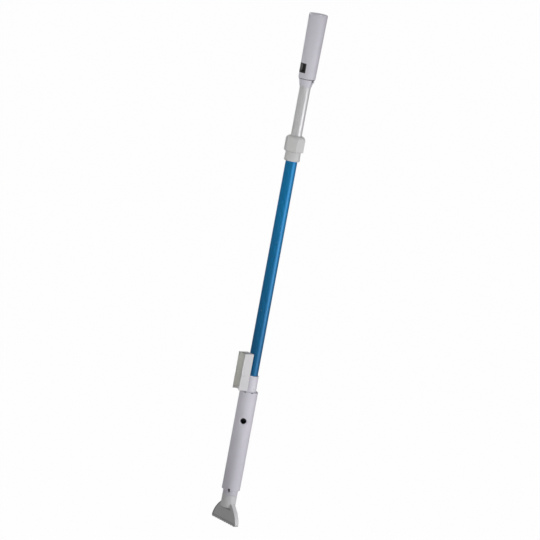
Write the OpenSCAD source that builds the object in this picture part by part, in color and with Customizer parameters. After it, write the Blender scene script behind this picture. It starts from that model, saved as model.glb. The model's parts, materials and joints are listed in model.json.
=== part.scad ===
// Telescopic battery cleaning wand: grip with a thumb switch, twist-lock telescope, pump housing,
// flat suction nozzle and a tufted brush parked on the pole. Millimetres, +Z up the pole.
// The origin is the centre of the nozzle's mouth. Azimuth 0 is -Y, the nozzle's front, and 90 is +X.

/* [Nozzle] */
// Width of the mouth
mouth_w = 102; // [92:1:112]
// Thickness of the flat part
mouth_t = 11.7; // [10.5:0.1:14]
// Wall of the flat part and of the neck
nozzle_wall = 2; // [1.6:0.1:2.4]
// Height of the soft lip round the mouth
lip_h = 4; // [3:0.5:6]
// Width of the slots in the lip's front edge
lip_slot_w = 4; // [2:0.5:5]
// Height of the slots in the lip's front edge
lip_slot_h = 1.8; // [1:0.1:2.5]
// Number of slots in the lip's front edge
lip_slots = 9; // [5:1:10]
// Height at which the flare meets the neck
fan_h = 52; // [48:1:58]
// Height of the neck's lower rim above the mouth
neck_rim_h = 40; // [36:1:44]
// Outer diameter of the neck
neck_d = 38; // [36.6:0.1:40]
// Length of the neck above its lower rim
neck_len = 32; // [26:1:44]
// Length of the spigot that plugs into the coupling
spigot_len = 26; // [22:1:27]

/* [Coupling] */
// Length of the coupling that shows under the housing
coupling_show = 14; // [12:1:20]
// Length of the coupling inside the housing
coupling_in = 24; // [24:1:30]
// Wall between the coupling's bore and the housing
coupling_wall = 3.6; // [3.4:0.1:3.9]
// Angle that each bayonet lug covers
lug_angle = 14; // [10:1:18]
// Height of a bayonet lug
lug_h = 4; // [3:0.5:5]
// How far a lug reaches into the housing's wall
lug_reach = 1.1; // [0.8:0.1:1.2]

/* [Housing] */
// Outer diameter of the pump housing
housing_d = 47; // [46.4:0.1:50]
// Length of the pump housing with its cap
housing_len = 260; // [250:2:320]
// Wall of the pump housing
housing_wall = 2.5; // [2.3:0.1:2.8]
// Thickness of the flange of the housing's cap
cap_flange = 3; // [2.4:0.2:5]
// Length of the cap's plug inside the housing
cap_plug = 18; // [14:1:19]
// Number of notches in the cap's rim
rim_notches = 8; // [4:1:10]
// Width of a notch in the cap's rim
notch_w = 5; // [3:0.5:7]
// Depth of a notch in the cap's rim
notch_h = 2.2; // [1:0.2:2.2]
// How far a notch reaches in from the cap's rim
notch_in = 4.4; // [2:0.2:5]

/* [Outlet port] */
// Bore of the outlet
port_d = 16; // [12:0.5:17]
// Flange of the port ring
port_flange_d = 22.6; // [21:0.2:26]
// Distance of the port's centre below the top of the housing
port_drop = 75; // [72:1:90]
// Azimuth of the port
port_angle = 52; // [30:1:70]
// How far the port ring stands out of the housing
port_proud = 1; // [0.6:0.1:2]
// Wall of the port's sleeve
port_wall = 1.6; // [1.2:0.1:1.8]

/* [Filter] */
// Room between the filter basket and the pump
filter_gap = 19.8; // [8:0.2:40]
// Wall of the filter basket
filter_wall = 1.4; // [1:0.1:2]
// Width of a filter slot
filter_slot_w = 4; // [2:0.5:5]
// Number of filter slots
filter_slots = 12; // [8:2:14]

/* [Pump] */
// Diameter of the impeller
impeller_d = 29; // [24:0.5:31]
// Number of impeller blades
blades = 6; // [4:1:8]
// Thickness of a blade
blade_t = 1.2; // [0.8:0.1:1.6]
// Thickness of the plate between the pump and the motor
plate_t = 5; // [4.5:0.5:6]
// Diameter of the inlet eye
eye_d = 14; // [10:0.5:16]
// Diameter of the motor
motor_d = 28; // [24:0.5:30]
// Length of the motor's can
motor_len = 38; // [30:1:38]
// Diameter of the motor's shaft
shaft_d = 2.3; // [2:0.1:3]

/* [Lower collar] */
// Outer diameter of the collar between the housing and the tube
collar_d = 35.6; // [35:0.1:38]
// Length of the collar
collar_len = 42; // [38:1:54]
// Height of the screws above the collar's foot
collar_screw_h = 8.5; // [8:0.5:12]
// Diameter of a screw's head
screw_head_d = 6; // [5:0.2:6.6]
// Diameter of a screw's shank
screw_d = 3; // [2.4:0.1:3.2]
// Length of the rail that carries the brush
rail_len = 32; // [24:1:36]
// Width of the rail's head
rail_w = 9; // [7:0.5:11]
// Width of the rail's stem
rail_stem_w = 4; // [3:0.5:5]

/* [Tubes] */
// Outer diameter of the outer tube
outer_d = 30; // [29.6:0.1:31]
// Wall of the outer tube
outer_wall = 0.8; // [0.7:0.05:0.85]
// Length of the outer tube that shows between its collars
tube_show = 558; // [520:2:700]
// Outer diameter of the inner tube
inner_d = 27.6; // [26.6:0.1:27.8]
// Wall of the inner tube
inner_wall = 1.2; // [0.9:0.1:1.5]
// Length of the inner tube that shows
inner_show = 126; // [124:2:200]
// Length of the inner tube below the top of the lock nut
inner_in = 506; // [440:2:506]
// Length of the guide bush below the inner tube
bush_len = 12; // [8:1:14]

/* [Twist lock] */
// Width of the lock nut across its flats
nut_flats = 44.8; // [42.6:0.2:48]
// Height of the lock nut
nut_h = 40; // [39:1:50]
// Azimuth of one corner of the nut
nut_angle = 65; // [30:1:90]
// Length of the sleeve below the nut
sleeve_len = 24; // [18:1:34]
// Diameter of the sleeve at its foot
sleeve_low_d = 40; // [37:0.2:42]
// Diameter of the sleeve under the nut
sleeve_top_d = 38.4; // [36.6:0.2:40]
// Length of the threaded part inside the nut
thread_len = 30; // [28:1:31]
// Diameter of the threaded part
thread_d = 35.8; // [35:0.1:37]

/* [Grip] */
// Height of the cone under the grip
cone_h = 20; // [18:1:28]
// Diameter at the foot of the cone
cone_low_d = 30.6; // [30:0.1:33]
// Diameter at the top of the cone
cone_top_d = 38.6; // [38:0.1:40.4]
// Diameter of the grip at its lower end
grip_low_d = 43.2; // [43:0.1:45]
// Diameter of the grip at its top
grip_top_d = 47.2; // [46.8:0.1:50]
// Length of the grip's shell
grip_len = 160; // [158:2:190]
// Wall of the grip's shell
grip_wall = 2; // [1.7:0.1:2.1]
// Height of the end cap above the shell
cap_h = 6; // [5:0.5:9]
// Length of the end cap's plug inside the grip
grip_plug = 15; // [12:1:16]
// Azimuth of the wrist-cord eye
eye_angle = 105; // [70:1:150]
// Bore of the wrist-cord eye
cord_eye_d = 3.2; // [2.4:0.1:3.4]
// Thickness of the eye's rib
eye_rib_t = 4; // [3:0.5:6]

/* [Switch] */
// Width of the switch's frame
switch_w = 24; // [20:0.5:25]
// Height of the switch's frame
switch_h = 24; // [22:0.5:26]
// Height of the switch's centre above the foot of the grip
switch_up = 26.5; // [26:0.5:32]
// Angle that the rocker leans to each side
rocker_lean = 7; // [4:1:8]

/* [Battery] */
// Diameter of a cell
cell_d = 18.4; // [16:0.1:18.5]
// Length of a cell
cell_len = 65; // [50:1:65]
// Number of cells side by side
cells = 3; // [2:1:3]

/* [Brush] */
// Width of the brush
brush_w = 28; // [26:1:34]
// Length of the brush
brush_len = 95; // [80:1:120]
// Depth of the brush's body
brush_body_t = 16.6; // [14:0.2:20]
// Free length of the bristles
bristle_len = 13.4; // [8:0.2:18]
// Distance from the pole's axis to the back of the brush
brush_back = 16.4; // [16:0.1:17]
// Gap between the brush and the housing's cap
brush_up = 4; // [2:0.5:8]
// Diameter of a tuft at its root
tuft_d = 3.2; // [2.4:0.1:3.6]
// Distance between tufts
tuft_pitch = 4.6; // [4.5:0.1:6.9]
// Radius of the brush body's long edges
brush_round = 2.5; // [1:0.1:4]
// Side walls that hold the tufts together
brush_wall = 1.8; // [1.4:0.1:2.4]
// How far the tufts stand out of the side walls
tuft_show = 2; // [0.5:0.1:4]
// Foot of the brush that has no tufts
brush_foot = 5; // [0:0.5:12]

/* [Cable] */
// Diameter of the cable
cable_d = 5; // [3.6:0.1:5.4]
// Outer diameter of the curled part of the cable
coil_d = 15; // [12:0.5:16]

/* [Clearances] */
// Gap between pieces that slide or turn past each other
slide_gap = 0.3; // [0.25:0.01:0.35]
// Gap of a running fit
fit_gap = 0.07; // [0.04:0.01:0.09]
// Gap between pieces that are glued or pressed together
glue_gap = 0.05; // [0.03:0.01:0.06]

/* [Hidden] */
$fn = 96;
fine = 32;
cut = 1;

// Heights, from the mouth upwards
neck_top = neck_rim_h + neck_len;
housing_z = neck_top + coupling_show;
coupling_top = housing_z + coupling_in;
housing_top = housing_z + housing_len;
collar_top = housing_top + collar_len;
sleeve_z = collar_top + tube_show;
nut_z = sleeve_z + sleeve_len;
nut_top = nut_z + nut_h;
cone_z = nut_top + inner_show;
grip_z = cone_z + cone_h;
grip_top = grip_z + grip_len;

// Nozzle and coupling
neck_r = neck_d / 2;
neck_edge = 1.2;
ring_seat = 0.02;
fan_steps = 24;
fan_power = 0.8;
fan_root = sqrt(neck_r * neck_r - mouth_t * mouth_t / 4) - 0.6;
housing_bore_r = housing_d / 2 - housing_wall;
coupling_r = housing_bore_r - slide_gap;
coupling_bore_r = coupling_r - coupling_wall;
spigot_r = coupling_bore_r - slide_gap;
spigot_bore_r = spigot_r - nozzle_wall;
spigot_top = neck_top + spigot_len;
ring_wire_r = 0.9;
ring_groove = 2 * ring_wire_r + 0.4;
ring_up = 17;
seal_up = 4.5;
lug_z = housing_z + 11;
mark_angles = [10, 60];
latch_angle = 41;
latch_w = 5;
latch_h = 5;
mark_depth = 0.8;

// Housing and pump
cap_flange_z = housing_top - cap_flange;
cap_bore_depth = 11;
cap_floor = 4;
edge_r = 1.5;
port_z = housing_top - port_drop;
port_sleeve_d = port_d + 2 * port_wall;
port_in = 2;
pump_floor = 3;
pump_h = port_sleeve_d + 1.2;
chamber_z = port_z - pump_h / 2;
plate_z = chamber_z + pump_h;
filter_len = chamber_z - pump_floor - filter_gap - coupling_top;
motor_z = plate_z + plate_t + glue_gap;
motor_boss_d = 10;
motor_top = motor_z + motor_len;
casing_r = housing_bore_r - glue_gap;
chamber_r = casing_r - 4;
motor_screw_r = 8;
motor_screw_d = 2.5;
motor_screw_head_d = 4.8;
hub_d = 6.4;
seal_d = 6;

// Lower collar and tubes
outer_r = outer_d / 2;
outer_bore_r = outer_r - outer_wall;
inner_r = inner_d / 2;
inner_bore_r = inner_r - inner_wall;
tube_bottom = housing_top + 4;
collar_stub_r = outer_r - 0.1;
collar_screw_z = housing_top + collar_screw_h;
gland_r = cable_d / 2 + 2.5;
collar_web = 6;
stub_len = 10;
rail_z = housing_top + 0.5;
rail_out = 5.2;
rail_head_t = 2.2;
tube_top = nut_z + 10;
inner_bottom = nut_top - inner_in;
inner_top = grip_z + 8;
collet_z = tube_top + 3;
thread_top = nut_z + thread_len;
collet_flange = 3;

// Grip
spigot_web = 4;
grip_spigot_r = cone_top_d / 2 - 1.8;
grip_foot = 4;
gasket_t = 1.4;
eye_r = cone_top_d / 2 + 1.3;
eye_z = grip_z - gasket_t - 3.1;
eye_rim = 1.3;
switch_z = grip_z + switch_up;
pad_show = 3;
plug_bore_z = grip_top - grip_plug - pad_show;
cap_ring_z = grip_top - grip_plug + 6;
cap_plug_r = grip_top_d / 2 - grip_wall - slide_gap;
pad_pocket_r = cap_plug_r - 3.4;
cradle_web = 6;
cradle_t = 2 * cradle_web;
top_cradle_z = plug_bore_z - slide_gap - cradle_t;
cell_z = top_cradle_z + cradle_web - cell_len;
cradle_z = cell_z - cradle_web;
cradle_r = grip_bore(cradle_z) - 0.15;
cell_ring_r = cradle_r - cell_d / 2 - 0.2;
spring_len = 4;
board_t = 2;
board_z = cradle_z - spring_len - board_t;
ledge_z = board_z - 3.8;
rocker_y = 15.8;
rocker_half_h = 9.2;
rocker_half_w = switch_w / 2 - 2.7;
pocket_half_h = rocker_half_h + 1;
pocket_floor = 11.5;
pin_r = 1;

// Brush
brush_z = housing_top + brush_up;
brush_top = brush_z + brush_len;
brush_front = brush_back + brush_body_t;
brush_lip = brush_front + bristle_len - tuft_show;

// Cable
lead_bottom = cone_z - 6;
tail_top = collar_top - 16;

// Bottom of the groove for a rubber ring that runs in a bore
function ring_seat_r(bore_r) = bore_r - fit_gap - 2 * ring_wire_r - ring_seat;
// Inner radius of the tapered grip at a height
function grip_bore(z) = (grip_low_d + (grip_top_d - grip_low_d) * (z - grip_z) / grip_len) / 2 - grip_wall;
// Half width of the flared part at a height: it leaves the neck in round shoulders and ends straight
function fan_half(z) =
    fan_root + (mouth_w / 2 - fan_root) * pow(sin(90 * (1 - min(max(z, 0), fan_h) / fan_h)), fan_power);
// Points of a circular arc
function arc(cx, cy, r, a0, a1, n = 8) =
    [for (i = [0:n]) let (a = a0 + (a1 - a0) * i / n) [cx + r * cos(a), cy + r * sin(a)]];
// Both halves of an outline given by its right half, from the bottom up
function both_halves(right) =
    concat(right, [for (i = [len(right) - 1:-1:0]) [-right[i][0], right[i][1]]]);

// A solid of revolution about the pole, from [radius, height] points
module turned(points) {
    rotate_extrude() polygon(points);
}

// A round bar or hole along the pole
module rod(r, z0, z1) {
    translate([0, 0, z0]) cylinder(r = r, h = z1 - z0);
}

// A tube along the pole
module pipe(r_out, r_in, z0, z1) {
    difference() {
        rod(r_out, z0, z1);
        rod(r_in, z0 - cut, z1 + cut);
    }
}

// A round bar that points out of the pole at an azimuth, between two distances from the axis
module spoke(r, from, to, z, azimuth) {
    rotate([0, 0, azimuth]) translate([0, -from, z]) rotate([90, 0, 0]) cylinder(r = r, h = to - from);
}

// A rubber ring
module wire_ring(ring_r, wire_r, z) {
    translate([0, 0, z]) rotate_extrude() translate([ring_r, 0]) circle(r = wire_r, $fn = fine);
}

// A flat outline in X and Z, given its thickness along Y about the pole's plane
module plate_xz(points, t) {
    rotate([90, 0, 0]) linear_extrude(height = t, center = true) polygon(points);
}

// ---------- Nozzle ----------

// Right half of the flare between two heights, moved in and down by a wall
function fan_right(z0, z1, wall) =
    [for (i = [0:fan_steps]) let (z = z0 + (z1 - z0) * i / fan_steps) [fan_half(z + wall) - wall, z]];

module nozzle_body() {
    bore_r = neck_r - nozzle_wall;
    groove_r = ring_seat_r(coupling_bore_r);
    color([0.74, 0.74, 0.76]) difference() {
        union() {
            plate_xz(both_halves(fan_right(lip_h, fan_h, 0)), mouth_t);
            turned([
                [0, neck_rim_h], [neck_r - neck_edge, neck_rim_h], [neck_r, neck_rim_h + neck_edge],
                [neck_r, neck_top], [spigot_r, neck_top],
                [spigot_r, neck_top + ring_up - ring_groove / 2],
                [groove_r, neck_top + ring_up - ring_groove / 2],
                [groove_r, neck_top + ring_up + ring_groove / 2],
                [spigot_r, neck_top + ring_up + ring_groove / 2],
                [spigot_r, spigot_top - 1], [spigot_r - 1, spigot_top], [0, spigot_top]
            ]);
        }
        plate_xz(both_halves(fan_right(lip_h - cut, neck_rim_h + 2 * nozzle_wall, nozzle_wall)),
            mouth_t - 2 * nozzle_wall);
        turned([
            [0, neck_rim_h + nozzle_wall], [bore_r, neck_rim_h + nozzle_wall], [bore_r, neck_top - 4],
            [spigot_bore_r, neck_top], [spigot_bore_r, spigot_top + cut], [0, spigot_top + cut]
        ]);
    }
}

module nozzle_o_ring() {
    color([0.15, 0.15, 0.15])
        wire_ring(coupling_bore_r - fit_gap - ring_wire_r, ring_wire_r, neck_top + ring_up);
}

module mouth_lip() {
    half = fan_half(lip_h);
    outline = concat(arc(half - lip_h, lip_h, lip_h, -90, 0), [[half, lip_h]]);
    slot_step = (2 * half - 4 * lip_h) / lip_slots;
    color([0.62, 0.62, 0.63]) difference() {
        plate_xz(both_halves(outline), mouth_t);
        plate_xz(both_halves([
            [half - lip_h, -cut], [half - nozzle_wall, lip_h / 2], [half - nozzle_wall, lip_h + cut]
        ]), mouth_t - 2 * nozzle_wall);
        for (i = [0:lip_slots - 1])
            translate([(i - (lip_slots - 1) / 2) * slot_step - lip_slot_w / 2, -mouth_t / 2 - cut, -cut])
                cube([lip_slot_w, nozzle_wall + 2 * cut, lip_slot_h + cut]);
    }
}

// ---------- Coupling and filter ----------

module coupling_ring() {
    groove_r = ring_seat_r(housing_bore_r);
    seal_z = housing_z + seal_up;
    color([0.72, 0.72, 0.74]) difference() {
        union() {
            turned([
                [coupling_bore_r, neck_top + slide_gap], [neck_r - 0.5, neck_top + slide_gap],
                [neck_r, neck_top + slide_gap + 0.5], [neck_r, housing_z],
                [coupling_r, housing_z], [coupling_r, seal_z - ring_groove / 2],
                [groove_r, seal_z - ring_groove / 2], [groove_r, seal_z + ring_groove / 2],
                [coupling_r, seal_z + ring_groove / 2], [coupling_r, coupling_top],
                [spigot_bore_r, coupling_top], [spigot_bore_r, spigot_top + slide_gap],
                [coupling_bore_r, spigot_top + slide_gap]
            ]);
            for (k = [0:2])
                rotate([0, 0, 120 * k + latch_angle + 60 - lug_angle / 2])
                    translate([0, 0, lug_z])
                        rotate([0, 0, -90])
                            rotate_extrude(angle = lug_angle)
                                translate([coupling_r - 1, 0]) square([lug_reach + 1 + slide_gap, lug_h]);
        }
        rotate([0, 0, latch_angle]) translate([0, -neck_r + 2 * mark_depth, housing_z])
            rotate([90, 0, 0]) linear_extrude(height = 4)
                polygon([
                    [-latch_w / 2, 2], [-latch_w / 2, -1], [0, -latch_h - 2],
                    [latch_w / 2, -1], [latch_w / 2, 2]
                ]);
        for (a = mark_angles)
            rotate([0, 0, a]) translate([0, -neck_r + mark_depth, housing_z - 3])
                rotate([90, 0, 0]) linear_extrude(height = 3)
                    polygon([[-1.8, 1.6], [0, -1.8], [1.8, 1.6]]);
    }
}

module coupling_seal() {
    color([0.15, 0.15, 0.15])
        wire_ring(housing_bore_r - fit_gap - ring_wire_r, ring_wire_r, housing_z + seal_up);
}

module filter_basket() {
    foot_z = coupling_top + glue_gap;
    basket_r = spigot_bore_r + 3.2;
    top_z = coupling_top + filter_len;
    color([0.25, 0.26, 0.28]) difference() {
        turned([
            [basket_r - filter_wall, foot_z], [coupling_r - 0.4, foot_z], [coupling_r - 0.4, foot_z + 2],
            [basket_r, foot_z + 2], [basket_r, top_z - 1], [basket_r - 1, top_z], [0, top_z],
            [0, top_z - 2], [basket_r - filter_wall, top_z - 2]
        ]);
        for (k = [0:filter_slots / 2 - 1])
            rotate([0, 0, 360 * k / filter_slots])
                translate([-filter_slot_w / 2, -basket_r - cut, foot_z + 10])
                    cube([filter_slot_w, 2 * (basket_r + cut), filter_len - 22]);
    }
}

// ---------- Housing ----------

module housing_shell() {
    r = housing_d / 2;
    groove_r = coupling_r + lug_reach + 2 * slide_gap;
    color([0.75, 0.75, 0.77]) difference() {
        turned(concat(
            [[housing_bore_r, housing_z]],
            arc(r - edge_r, housing_z + edge_r, edge_r, -90, 0, 4),
            [[r, cap_flange_z], [housing_bore_r, cap_flange_z]]
        ));
        pipe(groove_r, housing_bore_r - cut, lug_z - slide_gap, lug_z + lug_h + slide_gap);
        for (k = [0:2])
            rotate([0, 0, 120 * k + latch_angle + 60 + 30 - lug_angle / 2 - 1])
                translate([0, 0, housing_z - cut])
                    rotate([0, 0, -90])
                        rotate_extrude(angle = lug_angle + 2)
                            translate([housing_bore_r - cut, 0])
                                square([groove_r - housing_bore_r + cut, lug_z - housing_z + cut]);
        rotate([0, 0, latch_angle]) translate([-latch_w / 2, -r - cut, housing_z - cut])
            cube([latch_w, housing_wall + 2 * cut, latch_h + cut]);
        spoke(port_sleeve_d / 2 + glue_gap, housing_bore_r - 4, r + cut, port_z, port_angle);
    }
}

module port_ring() {
    r = housing_d / 2;
    difference() {
        color([0.78, 0.78, 0.8]) union() {
            spoke(port_sleeve_d / 2, housing_bore_r - port_in, r + port_proud, port_z, port_angle);
            difference() {
                spoke(port_flange_d / 2, housing_bore_r - 4, r + port_proud, port_z, port_angle);
                rod(r + glue_gap, port_z - port_flange_d, port_z + port_flange_d);
            }
        }
        spoke(port_d / 2, housing_bore_r - 4 - cut, r + port_proud + cut, port_z, port_angle);
    }
}

module housing_cap() {
    r = housing_d / 2;
    bore_r = collar_stub_r + glue_gap;
    floor_top = housing_top - cap_bore_depth;
    plug_z = cap_flange_z - cap_plug;
    color([0.75, 0.75, 0.77]) difference() {
        turned(concat(
            [[gland_r, floor_top - cap_floor], [casing_r - 3, floor_top - cap_floor],
                [casing_r - 3, plug_z], [casing_r, plug_z], [casing_r, cap_flange_z], [r, cap_flange_z]],
            arc(r - 1, housing_top - 1, 1, 0, 90, 4),
            [[bore_r, housing_top], [bore_r, floor_top], [gland_r, floor_top]]
        ));
        for (k = [0:rim_notches - 1])
            rotate([0, 0, latch_angle - 11 + 360 * k / rim_notches])
                translate([-notch_w / 2, -r - cut, housing_top - notch_h])
                    cube([notch_w, cut + notch_in, notch_h + cut]);
    }
}

module cable_gland() {
    floor_top = housing_top - cap_bore_depth;
    r = gland_r - glue_gap;
    hole_r = cable_d / 2 + glue_gap;
    color([0.12, 0.12, 0.12]) turned([
        [hole_r, floor_top - cap_floor - 1], [r, floor_top - cap_floor - 1], [r, floor_top + glue_gap],
        [r + 2, floor_top + glue_gap], [r + 2, floor_top + 1], [hole_r, floor_top + 1]
    ]);
}

// ---------- Pump ----------

module pump_casing() {
    floor_z = chamber_z - pump_floor;
    color([0.16, 0.16, 0.17]) difference() {
        rod(casing_r, floor_z, plate_z);
        rod(chamber_r, chamber_z, plate_z + cut);
        rod(eye_d / 2, floor_z - cut, chamber_z + cut);
        spoke(port_d / 2 + 0.5, 0, casing_r + cut, port_z, port_angle);
        spoke(port_sleeve_d / 2 + glue_gap, housing_bore_r - port_in - 2 * glue_gap, casing_r + cut,
            port_z, port_angle);
    }
}

module seal_plate() {
    color([0.3, 0.3, 0.32]) difference() {
        union() {
            rod(casing_r, plate_z, plate_z + plate_t);
            pipe(motor_d / 2 + 1.6, motor_d / 2 + glue_gap, plate_z + plate_t - cut, plate_z + plate_t + 10);
        }
        rod(seal_d / 2 + glue_gap, plate_z - cut, plate_z + plate_t);
        rod(motor_boss_d / 2 + glue_gap, plate_z + plate_t - 3, plate_z + plate_t + cut);
        for (s = [-1, 1]) translate([s * motor_screw_r, 0, 0]) {
            rod(motor_screw_d / 2 + glue_gap, plate_z - cut, plate_z + plate_t + cut);
            rod(motor_screw_head_d / 2 + glue_gap, plate_z - cut, plate_z + 2);
        }
    }
}

module shaft_seal() {
    color([0.1, 0.1, 0.1])
        pipe(seal_d / 2, shaft_d / 2 + fit_gap, plate_z + 0.2, plate_z + plate_t - 3);
}

module motor() {
    color([0.55, 0.56, 0.58]) difference() {
        union() {
            rod(motor_boss_d / 2, plate_z + plate_t - 2.8, motor_z + cut);
            rod(motor_d / 2, motor_z, motor_top);
            rod(motor_boss_d / 2, motor_top - cut, motor_top + 2);
        }
        rod(shaft_d / 2 + fit_gap, plate_z + plate_t - 2.8 - cut, motor_top - 4);
        for (s = [-1, 1]) translate([s * motor_screw_r, 0, 0])
            rod(motor_screw_d / 2 + glue_gap, motor_z - cut, motor_z + 5);
    }
}

module motor_screws() {
    color([0.6, 0.6, 0.6])
        for (s = [-1, 1]) translate([s * motor_screw_r, 0, 0]) {
            rod(motor_screw_head_d / 2, plate_z + 0.2, plate_z + 2 - glue_gap);
            rod(motor_screw_d / 2, plate_z + 1.5, motor_z + 4);
        }
}

module motor_shaft() {
    color([0.75, 0.75, 0.75]) rod(shaft_d / 2, chamber_z + 5, motor_top - 5);
}

// Each blade is an arc of one circle through the hub, cut off at the impeller's rim
module impeller() {
    low = chamber_z + 3;
    disc_z = plate_z - 6.5;
    blade_r = impeller_d / 3;
    color([0.85, 0.85, 0.86]) difference() {
        union() {
            rod(impeller_d / 2, disc_z, disc_z + 2);
            rod(hub_d / 2, low, disc_z + 4.5);
            translate([0, 0, low]) linear_extrude(height = disc_z - low + 0.5)
                for (k = [0:blades - 1]) rotate([0, 0, 360 * k / blades]) intersection() {
                    circle(r = impeller_d / 2 - 0.2);
                    translate([blade_r, 0]) difference() {
                        circle(r = blade_r);
                        circle(r = blade_r - blade_t);
                    }
                    square(impeller_d);
                }
        }
        rod(shaft_d / 2 + 0.02, low - cut, disc_z + 5);
    }
}

// ---------- Lower collar and tubes ----------

module lower_collar() {
    r = collar_d / 2;
    color([0.76, 0.76, 0.78]) difference() {
        union() {
            turned([
                [cable_d / 2 + 1.5, tube_bottom - collar_web], [outer_r - 4, tube_bottom - collar_web],
                [outer_r - 4, housing_top - stub_len], [collar_stub_r, housing_top - stub_len],
                [collar_stub_r, housing_top], [r, housing_top], [r, collar_top - 0.8], [r - 0.8, collar_top],
                [outer_r + glue_gap, collar_top], [outer_r + glue_gap, tube_bottom],
                [cable_d / 2 + 1.5, tube_bottom]
            ]);
            translate([-rail_stem_w / 2, -r - rail_out + 0.5, rail_z])
                cube([rail_stem_w, rail_out + 0.5, rail_len]);
            translate([-rail_w / 2, -r - rail_out, rail_z]) cube([rail_w, rail_head_t, rail_len]);
        }
        for (a = [90, 270]) {
            spoke(screw_d / 2 + 0.1, outer_bore_r - 2, r + cut, collar_screw_z, a);
            spoke(screw_head_d / 2 + 0.2, r - 1.6, r + cut, collar_screw_z, a);
        }
    }
}

module collar_screws() {
    r = collar_d / 2;
    color([0.45, 0.45, 0.46])
        for (a = [90, 270]) difference() {
            union() {
                spoke(screw_d / 2, outer_bore_r - 0.6, r - 1, collar_screw_z, a);
                spoke(screw_head_d / 2, r - 1.5, r - 0.2, collar_screw_z, a);
            }
            rotate([0, 0, a]) translate([0, -r, collar_screw_z]) {
                cube([screw_head_d * 0.6, 2, 0.8], center = true);
                cube([0.8, 2, screw_head_d * 0.6], center = true);
            }
        }
}

module outer_tube() {
    color([0.09, 0.42, 0.62]) difference() {
        pipe(outer_r, outer_bore_r, tube_bottom + glue_gap, tube_top);
        for (a = [90, 270]) spoke(screw_d / 2 + 0.1, outer_bore_r - 2, outer_r + cut, collar_screw_z, a);
    }
}

module inner_tube() {
    color([0.78, 0.79, 0.8]) pipe(inner_r, inner_bore_r, inner_bottom, inner_top);
}

module guide_bush() {
    plug_r = inner_bore_r - glue_gap;
    hole_r = coil_d / 2 + 2;
    color([0.9, 0.9, 0.88]) turned([
        [hole_r, inner_bottom - bush_len], [outer_bore_r - fit_gap - 0.8, inner_bottom - bush_len],
        [outer_bore_r - fit_gap, inner_bottom - bush_len + 0.8],
        [outer_bore_r - fit_gap, inner_bottom - glue_gap], [plug_r, inner_bottom - glue_gap],
        [plug_r, inner_bottom + 20], [hole_r, inner_bottom + 20]
    ]);
}

// ---------- Twist lock ----------

module lock_sleeve() {
    bore_r = outer_r + glue_gap;
    collet_r = outer_r + 0.8;
    color([0.76, 0.76, 0.78]) turned([
        [bore_r, sleeve_z], [sleeve_low_d / 2 - 0.6, sleeve_z], [sleeve_low_d / 2, sleeve_z + 0.6],
        [sleeve_top_d / 2, nut_z - slide_gap], [thread_d / 2, nut_z - slide_gap],
        [thread_d / 2, thread_top - 1], [thread_d / 2 - 1, thread_top], [collet_r, thread_top],
        [collet_r, collet_z], [outer_bore_r + 0.2, collet_z], [outer_bore_r + 0.2, tube_top + glue_gap],
        [bore_r, tube_top + glue_gap]
    ]);
}

module lock_collet() {
    out_r = outer_r + 0.7;
    color([0.88, 0.88, 0.86]) difference() {
        turned([
            [inner_r + fit_gap, collet_z + 0.1], [out_r, collet_z + 0.1], [out_r, thread_top + glue_gap],
            [out_r + 1.4, thread_top + glue_gap], [out_r + 0.4, thread_top + collet_flange],
            [inner_r + fit_gap, thread_top + collet_flange]
        ]);
        translate([-1, 0, collet_z - cut]) cube([2, outer_d, thread_len + 10]);
    }
}

module lock_nut() {
    corner_r = nut_flats / 2 / cos(30);
    thread_gap_r = thread_d / 2 + slide_gap;
    neck_in = inner_r + slide_gap;
    seat_z = thread_top + collet_flange + slide_gap;
    color([0.78, 0.78, 0.8]) difference() {
        intersection() {
            translate([0, 0, nut_z]) rotate([0, 0, nut_angle - 90])
                cylinder(r = corner_r, h = nut_h, $fn = 6);
            turned([
                [0, nut_z], [corner_r - 1.2, nut_z], [corner_r + 0.2, nut_z + 1.6],
                [corner_r + 0.2, nut_top - 10], [corner_r - 1, nut_top - 7.5], [corner_r - 3.6, nut_top - 4],
                [corner_r - 6.4, nut_top - 1.6], [inner_r + 2, nut_top], [0, nut_top]
            ]);
        }
        turned([
            [0, nut_z - cut], [thread_gap_r, nut_z - cut], [thread_gap_r, seat_z],
            [neck_in, seat_z + 2.5], [neck_in, nut_top + cut], [0, nut_top + cut]
        ]);
    }
}

// ---------- Grip ----------

module grip_collar() {
    bore_r = inner_r + glue_gap;
    cone_top_z = grip_z - gasket_t;
    spigot_top_z = inner_top + spigot_web;
    color([0.76, 0.76, 0.78]) difference() {
        union() {
            turned([
                [0, cone_z], [cone_low_d / 2 - 0.5, cone_z], [cone_low_d / 2, cone_z + 0.8],
                [cone_top_d / 2, cone_top_z], [grip_spigot_r, cone_top_z],
                [grip_spigot_r, spigot_top_z], [0, spigot_top_z]
            ]);
            rotate([0, 0, eye_angle]) {
                translate([0, -eye_r, eye_z]) rotate([0, 90, 0])
                    cylinder(r = cord_eye_d / 2 + eye_rim, h = eye_rib_t, center = true, $fn = fine);
                rotate([90, 0, 90]) linear_extrude(height = eye_rib_t, center = true) polygon([
                    [-cone_low_d / 2 + 1, cone_z + 4], [-cone_low_d / 2 - 0.3, cone_z + 4],
                    [-eye_r - cord_eye_d / 2 - eye_rim + 0.5, eye_z - 1.3],
                    [-eye_r, cone_top_z - 0.1], [-cone_top_d / 2 + 2, cone_top_z - 0.1]
                ]);
            }
        }
        rod(bore_r, cone_z - cut, inner_top + glue_gap);
        rod(coil_d / 2 - 0.5, inner_top, spigot_top_z + cut);
        rotate([0, 0, eye_angle]) translate([0, -eye_r, eye_z]) rotate([0, 90, 0])
            cylinder(r = cord_eye_d / 2, h = eye_rib_t + 2 * cut, center = true, $fn = fine);
    }
}

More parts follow.
